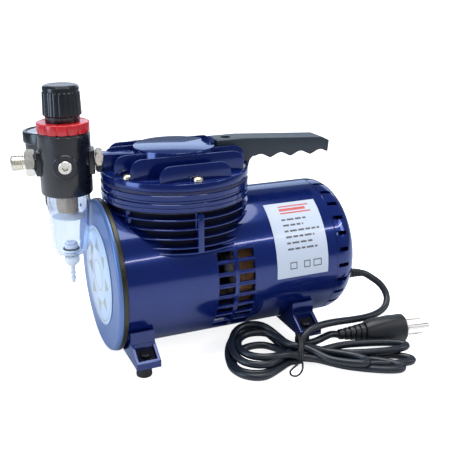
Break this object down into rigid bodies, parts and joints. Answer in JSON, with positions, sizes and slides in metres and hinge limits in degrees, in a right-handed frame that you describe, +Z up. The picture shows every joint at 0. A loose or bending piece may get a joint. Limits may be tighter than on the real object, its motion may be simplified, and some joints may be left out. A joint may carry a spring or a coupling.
{
  "type": "airbrush compressor",
  "caption": "Portable airbrush compressor: round motor on rubber feet, finned diaphragm head with carry handle, filter-regulator with gauge, and a tied mains lead.",
  "frame": {"origin": "middle of the footprint of everything but the lead, at the level of the rubber feet's undersides", "axes": "+X along the motor shaft from the front cap to the rear bell, +Z up, -Y the side with the rating label"},
  "size_m": [0.3298, 0.2338, 0.2264],
  "materials": {
    "blue_paint": "gloss",
    "blue_casting": "gloss paint on cast aluminium",
    "dark_ring": "satin",
    "badge_foil": "satin",
    "label_film": "satin",
    "steel": "machined",
    "lamination": "dull",
    "copper": "enamelled wire",
    "aluminium": "cast",
    "brass": "plated",
    "nickel": "nickel plated",
    "bronze_filter": "sintered",
    "black_rubber": "matte",
    "black_plastic": "satin",
    "white_plastic": "satin",
    "red_plastic": "gloss",
    "gasket_fibre": "matte",
    "dial_card": "matte",
    "needle_paint": "painted",
    "clear_plastic": "clear",
    "cord_sheath": "satin"
  },
  "bodies": {
    "compressor": {"motor_housing": "blue_paint", "cap_ring": "dark_ring", "front_cover": "blue_casting", "cover_badge": "badge_foil", "rear_bell": "blue_casting", "rating_label": "label_film", "stator_core": "lamination", "stator_winding": "copper", "front_bearing": "steel", "rear_bearing": "steel", "diaphragm": "black_rubber", "crankcase": "blue_casting", "clamp_ring": "blue_casting", "valve_plate": "blue_casting", "head_gasket": "gasket_fibre", "cylinder_head": "blue_casting", "head_screw_1": "brass", "head_screw_2": "brass", "head_screw_3": "brass", "head_screw_4": "brass", "head_screw_5": "brass", "head_screw_6": "brass", "carry_handle": "black_plastic", "handle_screw": "steel", "front_near_bracket": "blue_casting", "front_far_bracket": "blue_casting", "rear_near_bracket": "blue_casting", "rear_far_bracket": "blue_casting", "front_near_foot": "black_rubber", "front_far_foot": "black_rubber", "rear_near_foot": "black_rubber", "rear_far_foot": "black_rubber", "head_nipple": "steel", "regulator_body": "black_plastic", "bonnet_ring": "red_plastic", "port_plug": "nickel", "outlet_fitting": "nickel", "gauge_case": "black_plastic", "gauge_dial": "dial_card", "gauge_lens": "clear_plastic", "filter_bowl": "clear_plastic", "filter_element": "bronze_filter", "baffle_disc": "white_plastic", "drain_nut": "white_plastic", "strain_relief": "black_rubber", "power_cord": "cord_sheath", "cord_hank": "cord_sheath", "plug_body": "black_plastic", "plug_pins": "nickel"},
    "crankshaft": {"motor_shaft": "steel", "rotor": "lamination", "cooling_fan": "black_plastic", "crank_eccentric": "steel"},
    "rod": {"connecting_rod": "aluminium", "diaphragm_plate": "aluminium"},
    "adjuster": {"adjusting_screw": "steel"},
    "knob": {"pressure_knob": "black_plastic"},
    "needle": {"gauge_needle": "needle_paint"},
    "drain": {"drain_stem": "white_plastic"}
  },
  "joints": [
    {"name": "crankshaft_spin", "type": "hinge", "parent": "compressor", "child": "crankshaft", "pos_m": [0, -0.00896, 0.069], "axis": [1, 0, 0], "continuous": true},
    {"name": "diaphragm_stroke", "type": "slide", "parent": "compressor", "child": "rod", "axis": [0, 0, 1], "range_m": [-0.0025, 0.0025], "deforming": ["diaphragm"]},
    {"name": "pressure_adjust", "type": "hinge", "parent": "compressor", "child": "adjuster", "pos_m": [-0.0966, 0.00948, 0.19], "axis": [0, 0, 1], "range_deg": [-630, 630]},
    {"name": "knob_lift", "type": "slide", "parent": "adjuster", "child": "knob", "axis": [0, 0, 1], "range_m": [0, 0.003]},
    {"name": "needle_swing", "type": "hinge", "parent": "compressor", "child": "needle", "pos_m": [-0.10007, 0.05916, 0.177], "axis": [0, 0, -1], "range_deg": [0, 270], "stiffness_Nm_per_rad": 0.0002, "springref_deg": -5.73},
    {"name": "drain_push", "type": "slide", "parent": "compressor", "child": "drain", "axis": [0, 0, 1], "range_m": [0, 0.002], "stiffness_N_per_m": 300, "springref_m": -0.002}
  ]
}
